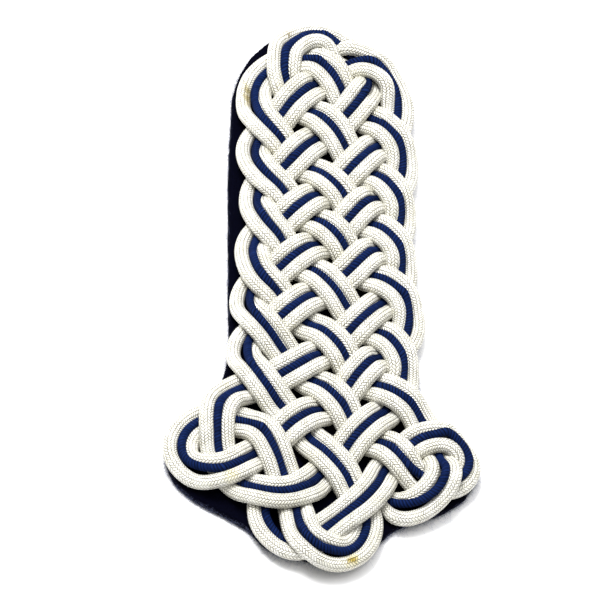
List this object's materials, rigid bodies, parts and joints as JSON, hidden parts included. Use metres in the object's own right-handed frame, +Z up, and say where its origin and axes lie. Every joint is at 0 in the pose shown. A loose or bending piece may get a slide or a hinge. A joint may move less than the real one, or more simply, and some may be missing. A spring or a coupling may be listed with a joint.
{
  "type": "shoulder cord",
  "caption": "Flat plaited shoulder cord of silver and blue braided cords on a dark cloth backing, straight at the neck end and spread in loops at the sleeve end.",
  "frame": {"origin": "the middle of the outline seen from above, at the underside of the cloth backing", "axes": "+X across the strap, to the right seen from above with the neck end away from the viewer; +Y along the strap to the neck end; +Z up, out of the plaited face"},
  "size_m": [0.0848, 0.1676, 0.0113],
  "materials": {
    "backing_cloth": "fulled wool cloth with a fuzzy cut edge",
    "silver_braid": "tightly braided metallic thread with a slight sparkle",
    "blue_twist": "matt twisted thread"
  },
  "bodies": {
    "root": {"cloth_backing": "backing_cloth", "silver_cord_left": "silver_braid", "silver_cord_right": "silver_braid", "blue_cord": "blue_twist"}
  },
  "joints": []
}
